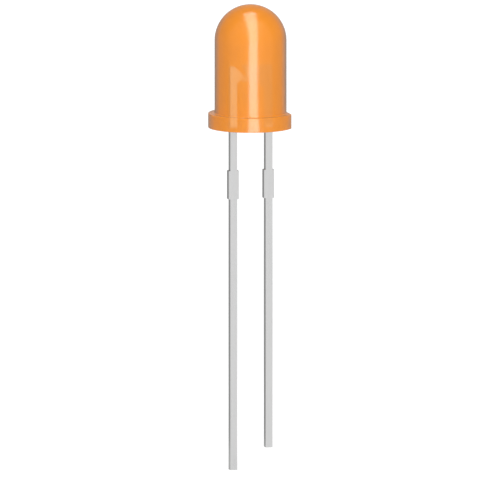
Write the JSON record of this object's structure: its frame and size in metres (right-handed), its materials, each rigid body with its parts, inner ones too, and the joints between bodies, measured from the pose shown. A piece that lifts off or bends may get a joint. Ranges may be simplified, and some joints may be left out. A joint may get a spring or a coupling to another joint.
{
  "type": "through hole LED",
  "caption": "Round through-hole LED with a domed, tinted, flanged epoxy lens, a flat on the cathode side and straight square leads with dam-bar stubs.",
  "frame": {"origin": "middle of the flange's underside, which is the seating plane on the board", "axes": "+Z along the lens's axis, towards the dome, with the leads pointing down; +X towards the cathode lead and the flange's flat; the flat sheet of the lead frame lies in the XZ plane"},
  "size_m": [0.0054, 0.0058, 0.0326],
  "materials": {
    "tinted_epoxy": "gloss, translucent, tinted and diffused",
    "plated_lead": "tin-plated, satin",
    "die": "satin",
    "silver_epoxy": "matte, silver-filled",
    "gold": "polished gold wire"
  },
  "bodies": {
    "root": {"lens": "tinted_epoxy", "cathode_lead": "plated_lead", "anode_lead": "plated_lead", "led_chip": "die", "die_attach": "silver_epoxy", "bond_wire": "gold"}
  },
  "joints": []
}
